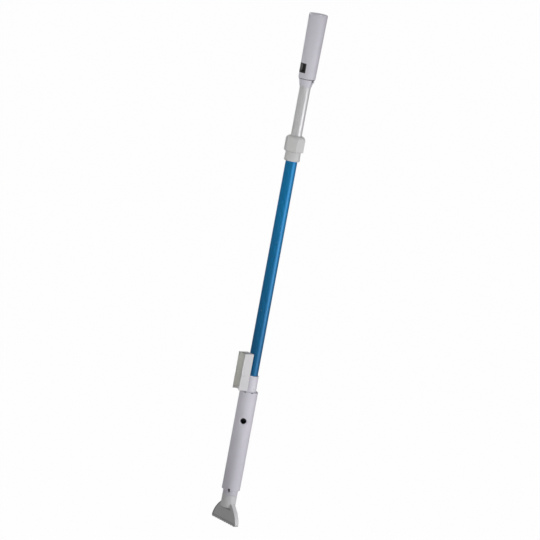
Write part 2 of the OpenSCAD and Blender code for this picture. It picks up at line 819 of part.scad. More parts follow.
module grip_gasket() {
    color([0.2, 0.2, 0.21])
        pipe(cone_top_d / 2 + 0.8, grip_spigot_r + glue_gap, grip_z - gasket_t, grip_z);
}

module grip_shell() {
    low_r = grip_low_d / 2;
    top_r = grip_top_d / 2;
    foot_top = grip_z + grip_foot;
    ledge_r = grip_bore(ledge_z) - 1.8;
    color([0.76, 0.76, 0.78]) difference() {
        turned([
            [grip_spigot_r + glue_gap, grip_z], [low_r - 1, grip_z], [low_r, grip_z + 1],
            [top_r, grip_top], [top_r - grip_wall, grip_top], [top_r - grip_wall, plug_bore_z],
            [grip_bore(plug_bore_z), plug_bore_z], [grip_bore(board_z), board_z], [ledge_r, board_z],
            [ledge_r, ledge_z + 1.8], [grip_bore(ledge_z), ledge_z], [grip_bore(foot_top), foot_top],
            [grip_spigot_r + glue_gap, foot_top]
        ]);
        translate([-switch_w / 2 - glue_gap, -top_r - cut, switch_z - switch_h / 2 - glue_gap])
            cube([switch_w + 2 * glue_gap, top_r, switch_h + 2 * glue_gap]);
    }
}

module end_cap() {
    r = grip_top_d / 2;
    seat_z = grip_top + slide_gap;
    plug_low = grip_top - grip_plug;
    groove_r = ring_seat_r(cap_plug_r + slide_gap);
    coin_slot_w = 3;
    color([0.76, 0.76, 0.78]) difference() {
        turned(concat(
            [[0, grip_top - 3], [pad_pocket_r, grip_top - 3], [pad_pocket_r, plug_low],
                [cap_plug_r, plug_low], [cap_plug_r, cap_ring_z - ring_groove / 2],
                [groove_r, cap_ring_z - ring_groove / 2], [groove_r, cap_ring_z + ring_groove / 2],
                [cap_plug_r, cap_ring_z + ring_groove / 2],
                [cap_plug_r, seat_z], [r, seat_z]],
            arc(r - 3, grip_top + cap_h - 4.5, 3, 0, 80, 5),
            [[r / 2, grip_top + cap_h - 0.6], [0, grip_top + cap_h]]
        ));
        translate([-r / 2, -coin_slot_w / 2, grip_top + cap_h - 2]) cube([r, coin_slot_w, 2 + cut]);
    }
}

module cap_o_ring() {
    color([0.15, 0.15, 0.15])
        wire_ring(grip_top_d / 2 - grip_wall - fit_gap - ring_wire_r, ring_wire_r, cap_ring_z);
}

module pack_pad() {
    color([0.2, 0.2, 0.22])
        rod(pad_pocket_r - glue_gap, plug_bore_z, grip_top - 3 - glue_gap);
}

module cell_places() {
    for (k = [0:cells - 1]) rotate([0, 0, 360 * k / cells]) translate([0, cell_ring_r, 0]) children();
}

module battery_cells() {
    color([0.2, 0.45, 0.3]) cell_places() {
        rod(cell_d / 2, cell_z, cell_z + cell_len - 1.6);
        rod(cell_d / 6, cell_z + cell_len - 1.7, cell_z + cell_len - 0.1);
    }
}

module cell_cradle_bottom() {
    color([0.1, 0.1, 0.1]) difference() {
        rod(cradle_r, cradle_z, cradle_z + cradle_t);
        cell_places() rod(cell_d / 2 + 0.1, cell_z - glue_gap, cradle_z + cradle_t + cut);
    }
}

module cell_cradle_top() {
    color([0.1, 0.1, 0.1]) difference() {
        rod(cradle_r, top_cradle_z, top_cradle_z + cradle_t);
        cell_places() rod(cell_d / 2 + 0.1, top_cradle_z - cut, cell_z + cell_len);
    }
}

module contact_board() {
    color([0.1, 0.35, 0.2]) rod(grip_bore(board_z) - 0.2, board_z + glue_gap, board_z + board_t);
}

module contact_springs() {
    color([0.8, 0.7, 0.4])
        for (s = [-1, 1]) translate([s * 9, 0, board_z + board_t])
            cylinder(r1 = 2.6, r2 = 1.6, h = spring_len, $fn = fine);
}

// ---------- Switch ----------

module switch_frame() {
    color([0.07, 0.07, 0.07]) difference() {
        intersection() {
            translate([-switch_w / 2, -grip_low_d, switch_z - switch_h / 2])
                cube([switch_w, grip_low_d - 10, switch_h]);
            rod(grip_bore(switch_z) + grip_wall + 0.4, grip_z, grip_top);
        }
        translate([-switch_w / 2 + 2.3, -grip_low_d, switch_z - pocket_half_h])
            cube([switch_w - 4.6, grip_low_d - pocket_floor, 2 * pocket_half_h]);
        translate([0, -rocker_y, switch_z]) rotate([0, 90, 0])
            cylinder(r = pin_r + fit_gap, h = 2 * switch_w, center = true, $fn = fine);
    }
}

module switch_rocker() {
    color([0.3, 0.3, 0.3]) union() {
        intersection() {
            translate([0, -rocker_y, switch_z]) rotate([-rocker_lean, 0, 0])
                rotate([90, 0, 90]) linear_extrude(height = 2 * rocker_half_w, center = true) polygon([
                    [-5.4, rocker_half_h], [-3.4, 0], [-5.4, -rocker_half_h],
                    [3, -rocker_half_h + 1], [3, rocker_half_h - 1]
                ]);
            rod(grip_bore(switch_z) + grip_wall + 1.2, grip_z, grip_top);
        }
        translate([0, -rocker_y, switch_z]) rotate([0, 90, 0])
            cylinder(r = pin_r, h = switch_w - 1.4, center = true, $fn = fine);
    }
}

module switch_body() {
    color([0.1, 0.1, 0.1])
        translate([-8, -9.8, switch_z - 9]) cube([16, 6.8, 18]);
}

// ---------- Cable ----------

module cable_lead() {
    color([0.1, 0.1, 0.1]) rod(cable_d / 2, lead_bottom, board_z - glue_gap);
}

module coiled_cable() {
    color([0.12, 0.12, 0.12]) rod(coil_d / 2, tail_top, lead_bottom - slide_gap);
}

module cable_tail() {
    color([0.1, 0.1, 0.1]) rod(cable_d / 2, motor_top + 2 + glue_gap, tail_top - slide_gap);
}

// ---------- Brush ----------

// Outline of the brush's body from above: a block with round front edges and a bay for the tufts
module brush_outline() {
    half = brush_w / 2;
    bay = half - brush_wall;
    difference() {
        union() {
            translate([-half, -brush_lip + brush_round]) square([brush_w, brush_lip - brush_round - brush_back]);
            translate([-half + brush_round, -brush_lip]) square([brush_w - 2 * brush_round, brush_round + cut]);
            for (s = [-1, 1])
                translate([s * (half - brush_round), -brush_lip + brush_round]) circle(r = brush_round);
        }
        translate([-bay, -brush_lip - cut]) square([2 * bay, brush_lip - brush_front + cut]);
    }
}

module brush_body() {
    collar_gap_r = collar_d / 2 + slide_gap + 0.1;
    slot_head = collar_d / 2 + rail_out;
    slot_top = rail_z + rail_len + slide_gap;
    color([0.78, 0.78, 0.78]) difference() {
        translate([0, 0, brush_z]) linear_extrude(height = brush_len) brush_outline();
        rod(collar_gap_r, brush_z - cut, collar_top + cut);
        translate([-rail_stem_w / 2 - slide_gap, -slot_head, brush_z - cut])
            cube([rail_stem_w + 2 * slide_gap, rail_out + 3, slot_top - brush_z + cut]);
        translate([-rail_w / 2 - slide_gap, -slot_head - slide_gap, brush_z - cut])
            cube([rail_w + 2 * slide_gap, rail_head_t + 2 * slide_gap, slot_top - brush_z + cut]);
    }
}

module brush_bristles() {
    columns = floor((brush_w - 2 * brush_wall) / tuft_pitch);
    rows = floor((brush_len - brush_foot) / tuft_pitch);
    color([0.8, 0.79, 0.74])
        for (i = [0:columns - 1], j = [0:rows - 1])
            translate([(i - (columns - 1) / 2) * tuft_pitch, -brush_front, brush_top - (j + 0.5) * tuft_pitch])
                rotate([90, 0, 0])
                    cylinder(r1 = tuft_d / 2, r2 = tuft_pitch / 2 - 0.1, h = bristle_len, $fn = 16);
}

grip_shell();
end_cap();
cap_o_ring();
pack_pad();
battery_cells();
cell_cradle_top();
cell_cradle_bottom();
contact_board();
contact_springs();
switch_frame();
switch_rocker();
switch_body();
grip_gasket();
grip_collar();
cable_lead();
coiled_cable();
cable_tail();
inner_tube();
guide_bush();
lock_nut();
lock_collet();
lock_sleeve();
outer_tube();
lower_collar();
collar_screws();
cable_gland();
housing_cap();
housing_shell();
motor();
motor_screws();
motor_shaft();
seal_plate();
shaft_seal();
impeller();
pump_casing();
port_ring();
filter_basket();
coupling_ring();
coupling_seal();
nozzle_body();
nozzle_o_ring();
mouth_lip();
brush_body();
brush_bristles();
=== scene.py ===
# %% [markdown]
# # Telescopic cleaning wand
# A hand-held suction wand: a battery grip with a thumb switch, a plain inner tube in a blue anodised outer
# tube with a twist lock, a pump housing with a side port, and a flat flared nozzle. A tufted brush is parked
# on the pole. The CAD frame gives every solid its place. This notebook gives the surfaces their finish, and
# puts finer pieces in the place of two plain solids: single bristles for the tufts, and a curled cord for its
# sleeve.

# %% Setup
import json
import math

import bpy
import numpy as np
from mathutils import Matrix, Vector


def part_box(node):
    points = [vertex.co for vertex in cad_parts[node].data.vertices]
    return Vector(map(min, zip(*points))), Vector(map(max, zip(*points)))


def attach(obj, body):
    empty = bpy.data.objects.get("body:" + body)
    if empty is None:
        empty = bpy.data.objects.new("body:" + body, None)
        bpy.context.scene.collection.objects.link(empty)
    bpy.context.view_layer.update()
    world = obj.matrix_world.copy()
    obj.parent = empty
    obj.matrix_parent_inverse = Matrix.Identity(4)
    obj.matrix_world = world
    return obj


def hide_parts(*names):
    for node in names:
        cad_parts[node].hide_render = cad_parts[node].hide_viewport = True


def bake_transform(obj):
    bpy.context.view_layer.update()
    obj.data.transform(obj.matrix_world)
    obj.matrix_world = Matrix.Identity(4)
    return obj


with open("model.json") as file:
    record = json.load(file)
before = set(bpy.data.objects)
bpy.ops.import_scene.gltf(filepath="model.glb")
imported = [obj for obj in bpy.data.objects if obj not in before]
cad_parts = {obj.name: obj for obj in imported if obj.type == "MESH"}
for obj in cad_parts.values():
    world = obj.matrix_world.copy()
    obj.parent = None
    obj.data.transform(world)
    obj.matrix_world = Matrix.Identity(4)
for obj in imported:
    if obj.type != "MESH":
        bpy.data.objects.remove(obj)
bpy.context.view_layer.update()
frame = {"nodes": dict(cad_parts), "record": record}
NODES = frame["nodes"]
MM = 0.001

# %% [markdown]
# ## The camera
# A pole is long and thin, so it is seen from far off through a long lens, which keeps its sides parallel.
# The camera stands between the brush's front and its side, a little above, and is rolled, so the pole leans.
# A small sideways shift of the lens, as a part of the picture's width, places the leaning pole.

# %% Camera
AZIMUTH, ELEVATION, ROLL = math.radians(52.0), math.radians(10.0), math.radians(10.5)
DISTANCE, AIM_Z, LENS, LENS_SHIFT = 9.0, 0.6625, 238.0, -0.00259
FAR_END = 100.0


def look(azimuth, elevation, roll, distance, aim):
    """Camera matrix: back = (sin a cos e, -cos a cos e, sin e), right = (cos a, sin a, 0), both rolled."""
    level = math.cos(elevation)
    back = Vector((math.sin(azimuth) * level, -math.cos(azimuth) * level, math.sin(elevation)))
    right = Vector((math.cos(azimuth), math.sin(azimuth), 0.0))
    up = back.cross(right)
    rolled_up = up * math.cos(roll) - right * math.sin(roll)
    rolled_right = right * math.cos(roll) + up * math.sin(roll)
    turn = Matrix((rolled_right, rolled_up, back)).transposed().to_4x4()
    return Matrix.Translation(aim + back * distance) @ turn


scene = bpy.context.scene
camera = bpy.data.objects.new("camera", bpy.data.cameras.new("camera"))
scene.collection.objects.link(camera)
camera.data.lens = LENS
camera.data.clip_end = FAR_END
camera.data.shift_x = LENS_SHIFT
camera.matrix_world = look(AZIMUTH, ELEVATION, ROLL, DISTANCE, Vector((0.0, 0.0, AIM_Z)))
scene.camera = camera
scene.view_settings.view_transform = "Standard"
print("camera at", [round(c, 3) for c in camera.location])

# %% [markdown]
# ## Shader maths
# A finish is a formula over the surface: "this noise, above this level, makes it rougher". So the helper
# lets such formulas be written as Python expressions. A Wire is one output of a node, and each operator on
# it adds the node that does that sum.

# %% Shader helper


class Wire:
    """One output of a shader node. +, -, *, / and ** add Math nodes, or Vector Math nodes on vectors."""

    def __init__(self, net, socket):
        self.net = net
        self.socket = socket

    def _sum(self, operation, first, second):
        vector = any(isinstance(w, Wire) and w.socket.type == "VECTOR" for w in (first, second))
        kind = "ShaderNodeVectorMath" if vector else "ShaderNodeMath"
        return self.net.node(kind, {"operation": operation}, {0: first, 1: second})

    def __add__(self, other):
        return self._sum("ADD", self, other)

    def __radd__(self, other):
        return self._sum("ADD", other, self)

    def __sub__(self, other):
        return self._sum("SUBTRACT", self, other)

    def __rsub__(self, other):
        return self._sum("SUBTRACT", other, self)

    def __mul__(self, other):
        return self._sum("MULTIPLY", self, other)

    def __rmul__(self, other):
        return self._sum("MULTIPLY", other, self)

    def __truediv__(self, other):
        return self._sum("DIVIDE", self, other)

    def __pow__(self, other):
        return self._sum("POWER", self, other)

    def math(self, operation, other=0.0):
        """Any other Math operation with this wire first, such as ABSOLUTE, SINE or MAXIMUM."""
        return self.net.node("ShaderNodeMath", {"operation": operation}, {0: self, 1: other})

    def rise(self, low, high):
        """0 below low, 1 above high and a smooth step between them."""
        inputs = {"Value": self, "From Min": low, "From Max": high}
        return self.net.node("ShaderNodeMapRange", {"interpolation_type": "SMOOTHSTEP"}, inputs)

    def near(self, place, width):
        """1 at a place and 0 further from it than width."""
        return 1.0 - (self - place).math("ABSOLUTE").rise(0.0, width)


class Net:
    """The node tree of one material."""

    def __init__(self, name):
        self.material = bpy.data.materials.new(name)
        self.material.use_nodes = True
        self.tree = self.material.node_tree
        self.tree.nodes.clear()
        place = self.tree.nodes.new("ShaderNodeTexCoord").outputs["Object"]
        self.place = Wire(self, place)

    def node(self, kind, settings=None, inputs=None, output=0):
        """Adds any node: its type, its settings, then the values or wires of its inputs."""
        made = self.tree.nodes.new(kind)
        for name, value in (settings or {}).items():
            setattr(made, name, value)
        for name, value in (inputs or {}).items():
            if isinstance(value, Wire):
                self.tree.links.new(value.socket, made.inputs[name])
            else:
                made.inputs[name].default_value = value
        return Wire(self, made.outputs[output])

    def axis(self, letter):
        """One coordinate of the surface point, in metres."""
        return self.node("ShaderNodeSeparateXYZ", None, {0: self.place}, letter)

    def noise(self, scale, stretch=(1.0, 1.0, 1.0), detail=2.0, roughness=0.5):
        """Cloudy noise about 0.5; scale is in cells a metre, and stretch multiplies it along each axis."""
        place = self.place * stretch
        inputs = {"Vector": place, "Scale": scale, "Detail": detail, "Roughness": roughness}
        return self.node("ShaderNodeTexNoise", None, inputs)

    def mix(self, factor, first, second):
        """Colour mix."""
        colours = [c if isinstance(c, Wire) else (*c, 1.0) for c in (first, second)]
        inputs = {0: factor, 6: colours[0], 7: colours[1]}
        return self.node("ShaderNodeMix", {"data_type": "RGBA"}, inputs, 2)

    def bump(self, height, distance, strength=1.0):
        """A normal bent by a height wire; distance in metres is what a height of 1 stands for."""
        inputs = {"Height": height, "Distance": distance, "Strength": strength}
        return self.node("ShaderNodeBump", None, inputs)

    def finish(self, **inputs):
        """The shader itself, by its sockets' names with _ for a space; returns the material."""
        named = {name.replace("_", " "): value for name, value in inputs.items()}
        for name, value in named.items():
            if isinstance(value, tuple) and len(value) == 3:
                named[name] = (*value, 1.0)
        shader = self.node("ShaderNodeBsdfPrincipled", None, named)
        out = self.tree.nodes.new("ShaderNodeOutputMaterial")
        self.tree.links.new(shader.socket, out.inputs["Surface"])
        return self.material


def tint(red, green, blue):
    """A colour as it shows on a screen, 0 to 255, made linear: ((c + 0.055) / 1.055) ** 2.4."""
    return tuple(((c / 255 + 0.055) / 1.055) ** 2.4 for c in (red, green, blue))


# %% [markdown]
# ## Room and lights
# A pale floor lies well below the wand, and the camera sees a white surround. The surround itself gives only
# dim light, so that round pieces turn darker at one side. A wide lamp on the right stands at the wand's own
# height, because an upright tube mirrors what stands level with it: it draws the long highlight down the
# pole. The other lamps are fills that nothing mirrors. Two weak ones keep the front and the left from going
# dark, and one straight above lights the faces that look up.

# %% Room and lights
FLOOR_Z, FLOOR_REACH, FLOOR_WHITE = -0.5, 30.0, 0.985
SURROUND_LIGHT = 0.26
WHITE = (1.0, 1.0, 1.0)


def soft_lamp(name, azimuth, height, distance, size, watts, aim_z, spread=180.0, colour=WHITE, fill=False):
    """A lamp of size (width, height), at distance (sin a, -cos a) from the pole, turned to the pole at aim_z.

    The azimuth a and the spread are in degrees. A fill isn't mirrored by anything.
    """
    lamp = bpy.data.lights.new(name, "AREA")
    lamp.shape = "RECTANGLE"
    lamp.size, lamp.size_y, lamp.energy = *size, watts
    lamp.spread, lamp.color = math.radians(spread), colour
    holder = bpy.data.objects.new(name, lamp)
    holder.visible_glossy = not fill
    scene.collection.objects.link(holder)
    around = math.radians(azimuth)
    place = Vector((math.sin(around) * distance, -math.cos(around) * distance, height))
    turn = (Vector((0.0, 0.0, aim_z)) - place).to_track_quat("-Z", "Y")
    holder.matrix_world = Matrix.Translation(place) @ turn.to_matrix().to_4x4()


soft_lamp(
    "right_lamp", azimuth=116.0, height=0.45, distance=2.0, size=(1.0, 0.9), watts=21.0, aim_z=0.45,
    colour=(0.985, 0.97, 1.0),
)
soft_lamp(
    "front_lamp", azimuth=30.0, height=0.80, distance=2.5, size=(0.9, 1.3), watts=1.2, aim_z=0.80,
    spread=14.0, fill=True,
)
soft_lamp(
    "left_lamp", azimuth=-25.0, height=0.90, distance=2.0, size=(1.4, 1.2), watts=0.8, aim_z=0.90,
    spread=50.0, fill=True,
)
soft_lamp(
    "top_lamp", azimuth=52.0, height=3.3, distance=0.35, size=(1.0, 1.0), watts=15.0, aim_z=0.8, fill=True,
)


def surround(tree, lit, white_part):
    """Adds white for the rays that the camera sends out, in that part, over what lamps light."""
    path = tree.nodes.new("ShaderNodeLightPath")
    part = tree.nodes.new("ShaderNodeMath")
    part.operation = "MULTIPLY"
    part.inputs[1].default_value = white_part
    tree.links.new(path.outputs["Is Camera Ray"], part.inputs[0])
    white = tree.nodes.new("ShaderNodeEmission")
    white.inputs["Strength"].default_value = 1.0
    pick = tree.nodes.new("ShaderNodeMixShader")
    tree.links.new(part.outputs[0], pick.inputs["Fac"])
    tree.links.new(lit, pick.inputs[1])
    tree.links.new(white.outputs[0], pick.inputs[2])
    return pick.outputs[0]


world = bpy.data.worlds.new("surround")
scene.world = world
world.use_nodes = True
world.node_tree.nodes.clear()
dim = world.node_tree.nodes.new("ShaderNodeBackground")
dim.inputs["Color"].default_value = (*WHITE, 1.0)
dim.inputs["Strength"].default_value = SURROUND_LIGHT
out = world.node_tree.nodes.new("ShaderNodeOutputWorld")
world.node_tree.links.new(surround(world.node_tree, dim.outputs[0], 1.0), out.inputs["Surface"])

floor_mesh = bpy.data.meshes.new("floor")
corners = [(x * FLOOR_REACH, y * FLOOR_REACH, FLOOR_Z) for x, y in ((-1, -1), (1, -1), (1, 1), (-1, 1))]
floor_mesh.from_pydata(corners, [], [(0, 1, 2, 3)])
floor = bpy.data.objects.new("floor", floor_mesh)
scene.collection.objects.link(floor)
floor_net = Net("pale_floor")
mottle = floor_net.mix(floor_net.noise(3.0), (0.80, 0.80, 0.80), (0.84, 0.84, 0.84))
floor_mesh.materials.append(floor_net.finish(Base_Color=mottle, Roughness=0.8))
shader = next(n for n in floor_net.tree.nodes if n.type == "BSDF_PRINCIPLED")
out = next(n for n in floor_net.tree.nodes if n.type == "OUTPUT_MATERIAL")
floor_net.tree.links.new(surround(floor_net.tree, shader.outputs[0], FLOOR_WHITE), out.inputs["Surface"])

# %% [markdown]
# ## Finishes
# Most of the shell is moulded in one pale, faintly violet plastic. Moulded plastic isn't one colour: it has
# soft clouds from the melt, a fine grain from the mould, lengthwise scuffs from use, and grime that collects
# beside each joint. So each finish is built from those parts, with the joints' heights taken from the CAD.

# %% Plastics
SEAMS = [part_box(name)[side][2] for name, side in (
    ("grip_shell", 0), ("grip_collar", 0), ("lock_nut", 0), ("lock_nut", 1), ("lock_sleeve", 0),
    ("lower_collar", 1), ("housing_cap", 1), ("housing_shell", 0),
)]
GRIME_REACH = 3.5 * MM


def moulded(name, colour, roughness=0.42, grain=0.4, scuffs=1.0, grime=0.25, painted_shade=None, ior=1.49):
    """Moulded plastic: colour times (1 - 0.05 noise), darker beside seams, rougher and paler on scuffs.

    painted_shade is a function that takes the net and returns how far each place is painted black as shade,
    from 0 to 1.
    A low ior stands for a matt surface that mirrors little.
    """
    net = Net(name)
    height = net.axis("Z")
    melt = net.noise(16.0, detail=3.0).rise(0.3, 0.7)
    scuff = net.noise(420.0, (1.0, 1.0, 0.05), 3.0).rise(0.60, 0.72) * net.noise(22.0).rise(0.45, 0.65)
    speck = net.noise(1500.0, detail=1.0).rise(0.70, 0.74)
    beside = sum(height.near(seam, GRIME_REACH) for seam in SEAMS)
    dirt = beside * net.noise(180.0, detail=3.0).rise(0.40, 0.75) * grime + speck * (0.5 * grime)
    darker = tuple(c * 0.95 for c in colour)
    base = net.mix(melt, colour, darker)
    base = net.mix(scuff * (0.10 * scuffs), base, (0.90, 0.90, 0.92))
    base = net.mix(dirt, base, (0.12, 0.11, 0.10))
    # Painted shade: the base turns towards black where the function says shade falls.
    if painted_shade:
        base = net.mix(painted_shade(net) * 0.94, base, (0.012, 0.011, 0.010))
    pits = net.noise(2600.0, detail=2.0) * grain - scuff * 0.25
    return net.finish(
        Base_Color=base, Roughness=roughness + scuff * (0.12 * scuffs) + speck * 0.2 - melt * 0.03,
        Normal=net.bump(pits, 0.00006), IOR=ior,
    )


# %% [markdown]
# ## Where shade is painted
# Painted shade goes where little light reaches: into the latch pocket, the port, the cord's eye, the notches
# under the cap's rim and the bay among the brush's roots, and over the fan's front, which faces away from the
# light. Each place has a formula of its own, which gives 1 inside it, 0 outside and a part where the shade is
# thin. The rocker's painted lit half and painted shaded half are told apart in the same way. A painted image
# could do it too, but it would need unwrapped surfaces.

# %% Where shade is painted
MOUNTS = {mount["name"]: mount for mount in frame["record"]["mounts"]}
PORT, EYE = MOUNTS["outlet_port"], MOUNTS["wrist_cord_eye"]
PORT_ANGLE = math.degrees(math.atan2(PORT["axis"][0], -PORT["axis"][1]))
LATCH_ANGLE = 41.0
FAN_TOP, FAN_ROOT, NECK_RIM = 52.0 * MM, 18.0 * MM, 40.0 * MM
HOUSING_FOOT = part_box("housing_shell")[0][2]
HOUSING_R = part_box("housing_cap")[1][0]
NECK_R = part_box("nozzle_body")[1][1]


def round_the_pole(net, degrees):
    """Distances for a direction a round the pole: out along it, x sin a - y cos a; sideways from it,
    |x cos a + y sin a|; and from the pole's own axis, the root of x squared plus y squared.
    """
    c, s = math.cos(math.radians(degrees)), math.sin(math.radians(degrees))
    x, y = net.axis("X"), net.axis("Y")
    return x * s - y * c, (x * c + y * s).math("ABSOLUTE"), (x * x + y * y) ** 0.5


def latch_recess(net):
    """Painted shade in the latch pocket at 41 degrees: 5 mm wide, in the coupling and the notch of the
    housing above it.
    """
    out, sideways, radius = round_the_pole(net, LATCH_ANGLE)
    height = net.axis("Z")
    inside = (1.0 - sideways.rise(2.5 * MM, 2.7 * MM)) * out.rise(0.0, MM)
    upright = height.rise(HOUSING_FOOT - 8.0 * MM, HOUSING_FOOT - 7.0 * MM)
    upright *= 1.0 - height.rise(HOUSING_FOOT + 5.0 * MM, HOUSING_FOOT + 5.2 * MM)
    sunk = 1.0 - radius.rise(NECK_R - 0.6 * MM, NECK_R - 0.3 * MM)
    in_notch = height.rise(HOUSING_FOOT - 0.2 * MM, HOUSING_FOOT)
    return inside * upright * sunk.math("MAXIMUM", in_notch)


def port_bore(net):
    """Painted shade on the wall of the side port, from just under its rim inwards."""
    out, sideways, radius = round_the_pole(net, PORT_ANGLE)
    upwards = net.axis("Z") - PORT["pos_m"][2]
    from_axis = (sideways * sideways + upwards * upwards) ** 0.5
    in_port = 1.0 - from_axis.rise(8.05 * MM, 8.2 * MM)
    under_rim = 1.0 - radius.rise(18.2 * MM, 19.6 * MM)
    return in_port * out.rise(0.0, MM) * under_rim


def rim_notches(net):
    """Painted shade in the notches under the housing cap's rim: everything there that lies inside the rim's
    own round.
    """
    _, _, radius = round_the_pole(net, 0.0)
    height, top = net.axis("Z"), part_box("housing_cap")[1][2]
    inside_rim = 1.0 - radius.rise(HOUSING_R - 1.2 * MM, HOUSING_R - 0.6 * MM)
    over_foot = height.rise(top - 2.3 * MM, top - 2.1 * MM)
    under_top = 1.0 - height.rise(top - 0.3 * MM, top - 0.1 * MM)
    return inside_rim * over_foot * under_top


def cord_eye(net):
    """Painted shade in the eye for a wrist cord and round its hole."""
    ends = {0: net.place, 1: EYE["pos_m"]}
    away = net.node("ShaderNodeVectorMath", {"operation": "DISTANCE"}, ends, "Value")
    return 1.0 - away.rise(2.4 * MM, 3.0 * MM)


def fan_front_shade(net):
    """Painted shade on the fan's front, which faces away from the light: thin all over, deeper under the
    neck's rim, along the outline's left side and just above the lip.

    The fan's half width at height z is root + (mouth - root) sin(pi / 2 (1 - z / top)) ** 0.8.
    """
    x, height = net.axis("X"), net.axis("Z")
    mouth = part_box("nozzle_body")[1][0]
    arc = ((1.0 - height / FAN_TOP) * (math.pi / 2)).math("SINE")
    half = FAN_ROOT + (mouth - FAN_ROOT) * arc ** 0.8
    by_outline = 1.0 - (half + x).rise(1.0 * MM, 7.0 * MM)
    left_side = by_outline * (1.0 - x.rise(-15.0 * MM, 0.0))
    in_middle = 1.0 - x.math("ABSOLUTE").rise(17.0 * MM, 25.0 * MM)
    under_neck = height.near(NECK_RIM - 3.0 * MM, 5.0 * MM) * in_middle
    above_lip = height.near(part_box("nozzle_body")[0][2] + 2.0 * MM, 3.0 * MM)
    front = net.axis("Y").near(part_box("mouth_lip")[0][1], 0.7 * MM)
    front *= 1.0 - height.rise(FAN_TOP - 2.0 * MM, FAN_TOP)
    return front * (0.22 + under_neck * 0.38 + left_side * 0.45 + above_lip * 0.25)


def rocker_shade_half(net):
    """The rocker's right half, painted black as shade; the rocker's grey paints light on its lit left half.
    """
    return net.axis("X").rise(-1.0 * MM, 1.0 * MM)


def brush_bay(net):
    """The bay between the brush's walls that the tufts stand in, as deep as their roots, painted black as
    shade.
    """
    (left, _, foot), (right, root, head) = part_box("brush_bristles")
    height, half, margin = net.axis("Z"), (right - left) / 2 + 0.7 * MM, 0.7 * MM
    between = 1.0 - net.axis("X").math("ABSOLUTE").rise(half, half + 0.2 * MM)
    between *= height.rise(foot - margin, foot - margin + 0.2 * MM)
    between *= 1.0 - height.rise(head - 3.0 * MM, head - 1.0 * MM)
    return between * (1.0 - net.axis("Y").rise(root + 0.1 * MM, root + 0.4 * MM))


# %% [markdown]
# ## Rubber, and the list of plastics
# The seals, the cable's jacket and the pad are rubber and foam, matt and dusty. With them the list is whole.
# It is kept by the names of the CAD record's material slots, so a node finds its finish through its slot.

# %% Rubber, and the list of plastics


def rubber(name, colour):
    """Moulded rubber: matt, with a bloom of pale dust in slow clouds."""
    net = Net(name)
    bloom = net.noise(60.0, detail=4.0).rise(0.45, 0.75)
    grain = net.noise(3200.0)
    return net.finish(
        Base_Color=net.mix(bloom * 0.12, colour, (0.4, 0.4, 0.4)), Roughness=0.62 + bloom * 0.15,
        Normal=net.bump(grain, 0.00005), IOR=1.52,
    )


PALE, WARM = tint(208, 206, 214), tint(206, 206, 205)
finishes = {
    "pale_shell": moulded("pale_shell", PALE),
    # The nozzle's plastic is set paler than the shell's: painted light on its lit neck. The shade on its
    # fan's front is painted over it.
    "pale_nozzle": moulded("pale_nozzle", tint(214, 214, 215), roughness=0.45, painted_shade=fan_front_shade),
    "pale_brush": moulded("pale_brush", tint(205, 205, 206), roughness=0.48, grain=0.6, painted_shade=brush_bay),
    "soft_lip": moulded("soft_lip", tint(188, 188, 188), roughness=0.6, grain=0.8, grime=0.5),
    "slip_plastic": moulded("slip_plastic", tint(224, 224, 220), roughness=0.35, grime=0.1),
    "black_plastic": moulded("black_plastic", (0.020, 0.020, 0.021), roughness=0.5, grain=1.2, grime=0.0),
    "switch_grey": moulded("switch_grey", (0.022, 0.022, 0.023), roughness=0.20, grain=0.3, grime=0.0),
    "seal_rubber": rubber("seal_rubber", (0.020, 0.020, 0.021)),
    "cable_jacket": rubber("cable_jacket", (0.018, 0.018, 0.019)),
    "pad_foam": rubber("pad_foam", (0.030, 0.030, 0.032)),
}
print("plastics:", len(finishes))

# %% [markdown]
# ## Metals
# The outer tube is drawn aluminium, anodised blue: drawing leaves fine lines along the tube, and the dye
# takes a little unevenly. Both tubes are also painted darker towards the foot, as painted shade. The film
# stays partly metallic, so the highlight is broad and bluish. The inner tube is drawn too, with a clear satin
# film, and the sliding bush polishes pale lines along it.

# %% Metals


def drawn_tube(name, node, colour, second, roughness, metallic, lines=0.10, rubbed=0.0):
    """Drawn tube: tone = 0.2 line + 0.1 cloud + 0.7 (1 - smooth height), from the first colour to the second.

    The lines run along the tube. The part from the height is painted shade, darker towards the foot.
    Nicks are paler and rougher, and where it is rubbed, lines are paler.
    """
    net = Net(name)
    foot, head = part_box(node)[0][2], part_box(node)[1][2]
    line = net.noise(1100.0, (1.0, 1.0, 0.004), 3.0)
    uneven = net.noise(10.0, (1.0, 1.0, 0.5), 2.0)
    nick = net.noise(500.0, (1.0, 1.0, 0.4), 1.0).rise(0.735, 0.765)
    rub = net.noise(700.0, (1.0, 1.0, 0.01), 2.0).rise(0.62, 0.70) * rubbed
    # Painted shade: the colour darkens towards the foot, where less light falls on the tube.
    foot_shade = 1.0 - net.axis("Z").rise(foot, head)
    tone = line.rise(0.3, 0.7) * 0.2 + uneven.rise(0.3, 0.7) * 0.1 + foot_shade * 0.7
    base = net.mix(tone, colour, second)
    base = net.mix(nick * 0.2 + rub, base, (0.75, 0.77, 0.79))
    return net.finish(
        Base_Color=base, Metallic=metallic, Roughness=roughness + (line - 0.5) * lines + nick * 0.2,
        Normal=net.bump(line + nick * -0.5, 0.00001),
    )


def plain_metal(name, colour, roughness=0.35):
    """Turned or pressed metal: a faint ring of tool marks round the pole's axis and some tarnish."""
    net = Net(name)
    tarnish = net.noise(120.0, detail=4.0).rise(0.4, 0.8)
    marks = net.noise(1800.0, (0.02, 0.02, 1.0), 2.0)
    darker = tuple(c * 0.7 for c in colour)
    return net.finish(
        Base_Color=net.mix(tarnish, colour, darker), Metallic=1.0,
        Roughness=roughness + tarnish * 0.15, Normal=net.bump(marks, 0.00001),
    )


